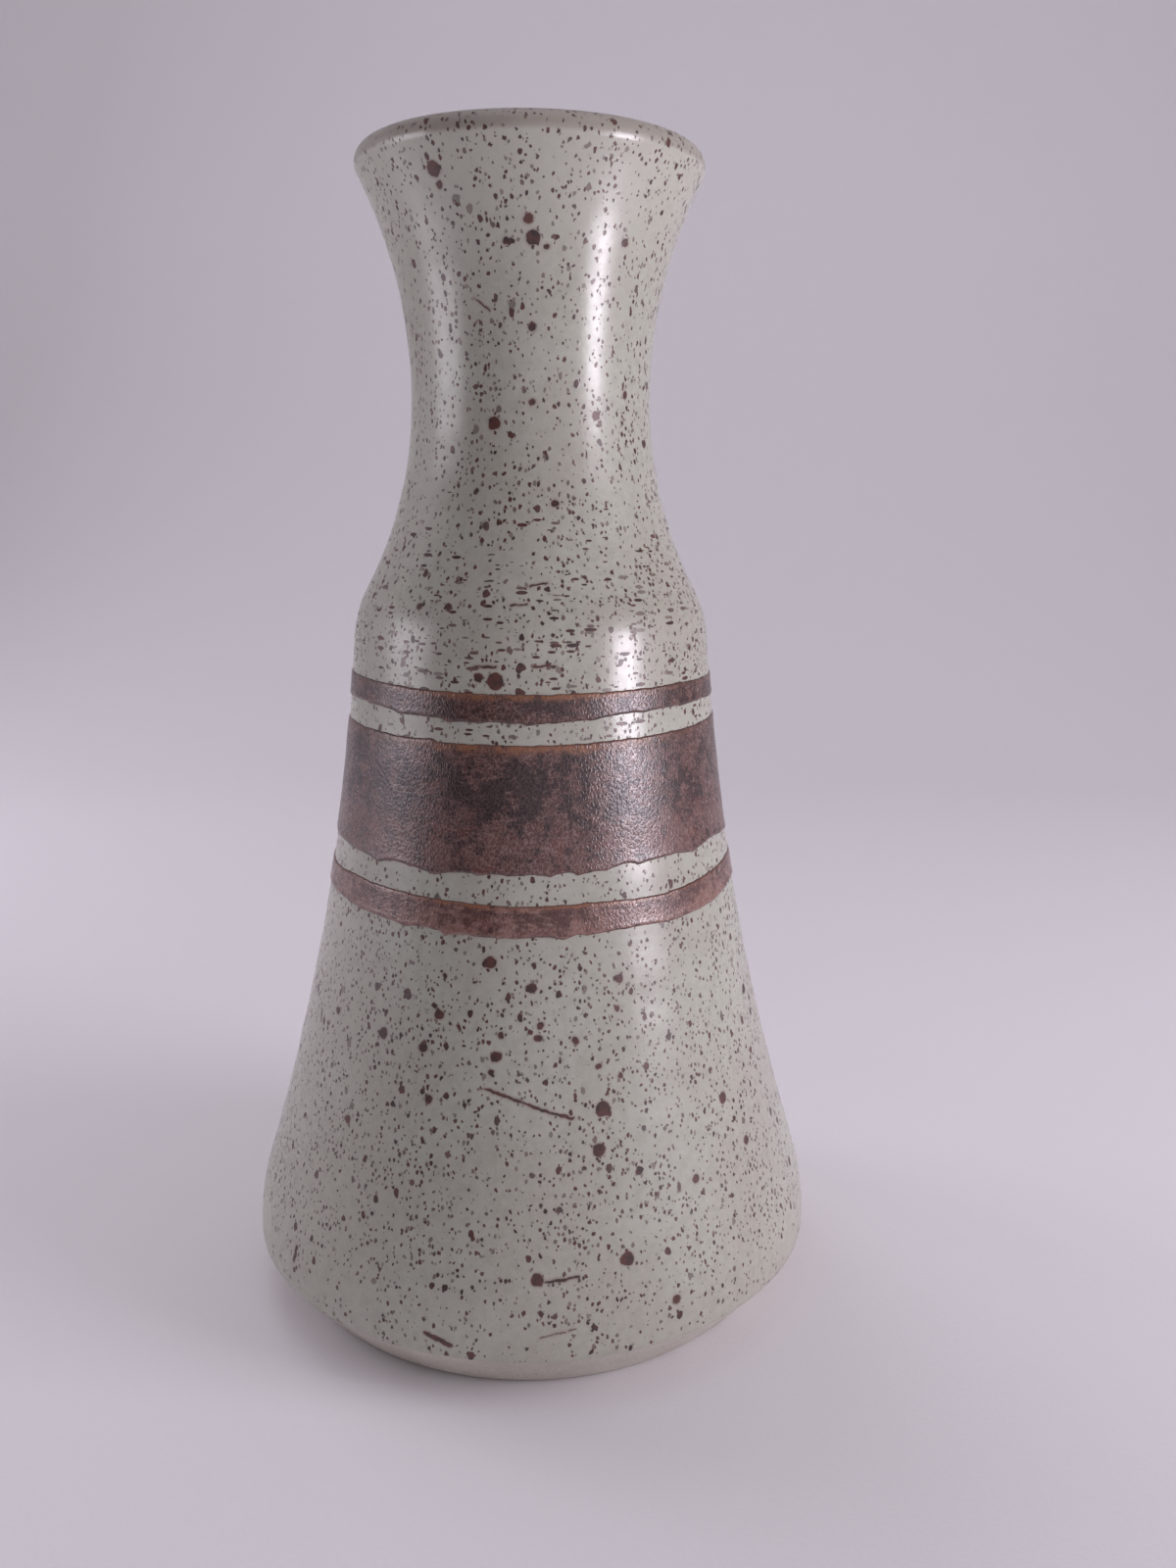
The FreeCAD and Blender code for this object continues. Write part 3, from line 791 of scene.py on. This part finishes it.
# %% Mix the brown glaze
def brown_glaze(name, deep, thin, coat_reach, tan_reach, dark_blots=(), second_line=False):
    """deep and thin are its colours. The second coat and the orange edge reach down so many mm each."""
    recipe = Recipe(bpy.data.materials.new(name))
    place = recipe.place()
    x, y, _ = recipe.split(place)
    below, above = measure(recipe, "below_top"), measure(recipe, "above_bottom")
    bristles = recipe.cloud(recipe.vector("MULTIPLY", place, (0.5, 0.5, 1.0)), 1.0, 4.0, 0.65)
    patches = recipe.cloud(recipe.vector("MULTIPLY", place, (1.0, 1.0, 0.8)), 4.0, 4.0, 0.65)
    pebble, grit = pebbled_skin(recipe, place), recipe.cloud(place, 0.7, 3.0, 0.7)

    second_coat = (below + (patches - 0.5) * 10.0).ramp(coat_reach - 2.0, coat_reach + 2.0, 1.0, 0.0)
    thickness = second_coat * 0.35 + patches.ramp(0.42, 0.6, 0.0, 0.6)
    thickness = thickness + bristles.ramp(0.35, 0.65, -0.3, 0.3)
    if dark_blots:
        soaked = blots(recipe, recipe.shaken(place, 2.5, 5.0), dark_blots)
        thickness = thickness + soaked.ramp(-1.5, 2.0, 0.0, 0.7)
    colour = recipe.blend(thickness.ramp(0.0, 1.0), thin, deep)
    rust = recipe.cloud(place, 3.0, 3.0).ramp(0.5, 0.72) * below.ramp(coat_reach - 6.0, coat_reach + 2.0)
    colour = recipe.blend(rust * 0.6, colour, shade(108, 56, 44))
    # Pale flecks on the pebble edges: partly the glaze's own pale lines, partly a painted sparkle of the
    # lamp's reflection.
    flecks_and_painted_sparkle = pebble.ramp(0.03, 0.16, 1.0, 0.0) * grit.ramp(0.4, 0.56) * thickness.ramp(0.2, 1.0, 1.0, 0.3)
    colour = recipe.blend(flecks_and_painted_sparkle * 0.5, colour, shade(164, 138, 132))

    across = x.math("ARCTAN2", -y).near(0.0, 1.1)
    colour = edged(recipe, colour, below, above, bristles, patches, across, tan_reach, second_line)
    iron = specks(recipe, place, 3.2, 0.3, 0.9, 0.5, 0.9)
    colour = recipe.blend(iron * 0.7, colour, shade(44, 24, 24))
    colour = recipe.blend(above.near(0.0, 0.2), colour, shade(200, 198, 186))
    height = pebble.ramp(0.0, 0.3) * 0.035 + grit * 0.07 + bristles * 0.04
    return recipe.finish(colour, flecks_and_painted_sparkle.ramp(0.0, 1.0, 0.3, 0.17), height, IOR=1.68)


# %% Brush the upper band: each edge is a list of degrees from the front and heights
RING = around(720)
UPPER_TOP = [(-66, 154.5), (-47, 154.3), (-31, 154.0), (-7, 153.8), (8, 153.8), (36, 154.0), (52, 154.2),
             (80, 153.7)]
UPPER_BOTTOM = [(-73, 148.6), (-52, 148.8), (-40, 148.0), (-24, 147.8), (-22, 147.2), (-13, 147.4),
                (-3, 147.4), (1, 147.0), (8, 147.4), (19, 147.9), (35, 148.7), (52, 148.8), (75, 148.6)]
upper_brown = brown_glaze("brown_glaze_upper", shade(50, 22, 17), shade(92, 55, 44), 6.0, 1.3)
brushed_band("band_upper", "upper_band", stroke_edge(RING, UPPER_TOP, seed=3, bulge=0.05),
             stroke_edge(RING, UPPER_BOTTOM, seed=4, bulge=0.4), 14, upper_brown)

# %% Brush the middle band
MIDDLE_TOP = [(-71, 143.5), (-35, 143.2), (-26.5, 143.5), (-25, 143.0), (8, 143.0), (26, 143.4),
              (58, 143.8), (78, 144.0)]
MIDDLE_BOTTOM = [(-73, 115.0), (-57, 115.0), (-44, 114.2), (-32, 114.9), (-24, 114.0), (-12, 114.7),
                 (-4, 114.9), (7, 114.7), (14, 114.9), (22, 115.3), (31, 115.8), (52, 115.4), (70, 116.2)]
MIDDLE_DARK = [  # degrees from the front, height, width in mm
    (12, 140, 3.2), (11, 137.5, 3.0), (-20, 136, 3.5), (-18, 132.5, 4.0), (-8, 132, 6.0), (3, 134, 6.0),
    (25, 128, 4.0), (-12, 121, 3.0), (2, 130, 5.0),
]
middle_brown = brown_glaze("brown_glaze_middle", shade(46, 21, 19), shade(102, 67, 59), 18.0, 2.0,
                           MIDDLE_DARK)
brushed_band("band_middle", "middle_band", stroke_edge(RING, MIDDLE_TOP, seed=5, bulge=0.05),
             stroke_edge(RING, MIDDLE_BOTTOM, seed=6, bulge=0.8), 36, middle_brown)

# %% Brush the lower band
LOWER_TOP = [(-71, 108.8), (-55, 109.6), (-31, 109.2), (-1, 108.5), (17, 108.9), (39, 108.3), (58, 109.4),
             (75, 110.2)]
LOWER_BOTTOM = [(-68, 102.8), (-52, 102.6), (-32, 101.8), (-23, 102.2), (-20, 101.0), (-12, 101.6),
                (-2, 101.4), (10, 101.2), (16, 101.7), (39, 101.7), (58, 102.3), (76, 103.6)]
LOWER_DARK = [(-14, 105.5, 2.6), (10, 104.5, 2.6)]
lower_brown = brown_glaze("brown_glaze_lower", shade(86, 48, 40), shade(144, 106, 93), 4.5, 0.9,
                          LOWER_DARK, second_line=True)
brushed_band("band_lower", "lower_band", stroke_edge(RING, LOWER_TOP, seed=7, bulge=0.05),
             stroke_edge(RING, LOWER_BOTTOM, seed=8, bulge=0.6), 16, lower_brown)

# %% [markdown]
# ## The floor and the sweep behind it
#
# The vase stands on a pale sweep: a floor that curves up behind it into a backdrop, so that no corner
# shows. It could be two flat sheets, but the line where they meet would cut across the view behind the
# pot.

# %% Lay the sweep
def sweep():
    recipe = Recipe(bpy.data.materials.new("pale_sweep"))
    place = recipe.place()
    weave = recipe.cloud(place, 1.2, 2.0)
    colour = recipe.blend(weave * 0.3, shade(240, 238, 239), shade(234, 232, 233))
    material = recipe.finish(colour, weave.ramp(0.0, 1.0, 0.7, 0.8), weave * 0.05)
    front, level_to, rise, top, half_width = -1.4, 0.55, 0.45, 2.4, 2.0
    turn = np.linspace(0, math.pi / 2, 24)
    line = [(front, 0.0)] + [(level_to + rise * math.sin(a), rise * (1 - math.cos(a))) for a in turn]
    line.append((level_to + rise, top))
    places = [(side, y, z) for y, z in line for side in (-half_width, half_width)]
    faces = [(i * 2, i * 2 + 1, i * 2 + 3, i * 2 + 2) for i in range(len(line) - 1)]
    mesh = bpy.data.meshes.new("sweep")
    mesh.from_pydata(places, [], faces)
    mesh.materials.append(material)
    mesh.shade_smooth()
    floor = bpy.data.objects.new("sweep", mesh)
    bpy.context.scene.collection.objects.link(floor)
    print(f"sweep: {half_width * 2} m wide and {top} m high")


sweep()

# %% [markdown]
# ## Soft boxes
#
# A glossy pot needs two kinds of light. Narrow upright soft boxes leave the streaks on its neck and
# shoulder, one bright on the right and one soft on the left, and each is stepped from bright to dim so
# that the streak has soft ends. Broad ones light its colour from both sides. One set of lamps could do
# both, but then the streaks and the shading could not be set apart. So each box here shines either on
# the gloss or on the surfaces.

# %% Hang the soft boxes
LIGHT_COLOUR = shade(240, 233, 245)
SOFT_BOXES = [  # name, degrees from the front, distance, width, low, high, radiance, aim height, shines on
    ("right_streak", 61, 0.40, 0.105, 0.125, 0.265, 9.3, 0.225, "gloss"),
    ("right_streak_end", 60, 0.41, 0.120, 0.08, 0.31, 3.8, 0.225, "gloss"),
    ("right_streak_low", 60, 0.42, 0.120, 0.10, 0.19, 4.5, 0.225, "gloss"),
    ("left_streak", -78, 0.50, 0.24, 0.140, 0.31, 2.9, 0.235, "gloss"),
    ("left_streak_end", -80, 0.51, 0.34, 0.08, 0.35, 0.9, 0.235, "gloss"),
    ("right_light", 73, 0.85, 0.42, 0.12, 0.60, 6.4, 0.15, "surfaces"),
    ("left_light", -113, 0.85, 0.36, 0.12, 0.60, 3.6, 0.15, "surfaces"),
    ("backdrop_glow", -150, 1.00, 0.80, 1.00, 1.80, 3.0, 1.4, "surfaces"),
]


def soft_box(name, side_angle, distance, width, low, high, radiance, aim_height, shines_on):
    """An upright soft box, in metres, at an angle from the front."""
    light = bpy.data.lights.new(name, "AREA")
    light.shape, light.size, light.size_y = "RECTANGLE", width, high - low
    light.energy = radiance * width * (high - low) * math.pi
    light.color = LIGHT_COLOUR[:3]
    box = bpy.data.objects.new(name, light)
    angle = math.radians(side_angle)
    box.location = (distance * math.sin(angle), -distance * math.cos(angle), (low + high) / 2)
    box.rotation_euler = (Vector((0, 0, aim_height)) - box.location).to_track_quat("-Z", "Y").to_euler()
    box.visible_camera = False
    box.visible_diffuse = shines_on == "surfaces"
    box.visible_glossy = shines_on == "gloss"
    bpy.context.scene.collection.objects.link(box)


for box_sizes in SOFT_BOXES:
    soft_box(*box_sizes)
print(len(SOFT_BOXES), "soft boxes")

# %% [markdown]
# ## The tent
#
# White cloth all round the table throws a little light back from everywhere. An even white sky could
# stand for it, but that would light the hollow of the neck as much as its sides and lose the form. Three
# broad lobes, to the right, to the left and in front, and a soft one overhead give the slow shading of a
# real tent.

# %% Put up the tent
LOBES = [  # degrees from the front, sharpness, strength
    (70, 6.0, 1.25), (-100, 6.0, 0.66), (10, 12.0, 0.85),
]


def tent():
    """The light all round: the lobes, the light overhead and a little from everywhere."""
    recipe = Recipe(bpy.data.worlds.new("tent"))
    outward = recipe.add("ShaderNodeTexCoord").socket("Generated")
    strength = 0.02 + 0.85 * recipe.split(outward)[2].at_least(0.0) ** 4.0
    for side_angle, sharpness, brightness in LOBES:
        aim = (math.sin(math.radians(side_angle)), -math.cos(math.radians(side_angle)), 0.0)
        facing = recipe.vector("DOT_PRODUCT", outward, aim).at_least(0.0)
        strength = strength + brightness * facing ** sharpness
    background = recipe.add("ShaderNodeBackground", sockets={"Color": LIGHT_COLOUR, "Strength": strength})
    recipe.add("ShaderNodeOutputWorld", sockets={"Surface": background.socket("Background")})
    bpy.context.scene.world = recipe.owner
    print(f"tent: {len(recipe.tree.nodes)} nodes")


tent()

# %% [markdown]
# ## The camera
#
# A vase is looked at from a little above its middle and from close by, so the foot looks smaller than it
# would from across the room. The camera could be aimed by a constraint, but a fixed place and tilt are
# plainer and stay put.

# %% Place the camera
LENS, SENSOR = 29.66, 36.0
STANDS_AT = (0.01383, -0.31515, 0.196)
LOOKS_DOWN, ROLL = math.radians(12.76), math.radians(0.32)

camera = bpy.data.objects.new("camera", bpy.data.cameras.new("camera"))
camera.data.lens, camera.data.sensor_width = LENS, SENSOR
tilt = Matrix.Rotation(math.pi / 2 - LOOKS_DOWN, 4, "X") @ Matrix.Rotation(ROLL, 4, "Z")
camera.matrix_world = Matrix.Translation(STANDS_AT) @ tilt
bpy.context.scene.collection.objects.link(camera)
bpy.context.scene.camera = camera
bpy.context.scene.view_settings.view_transform = "Standard"
print("the camera stands at", STANDS_AT)
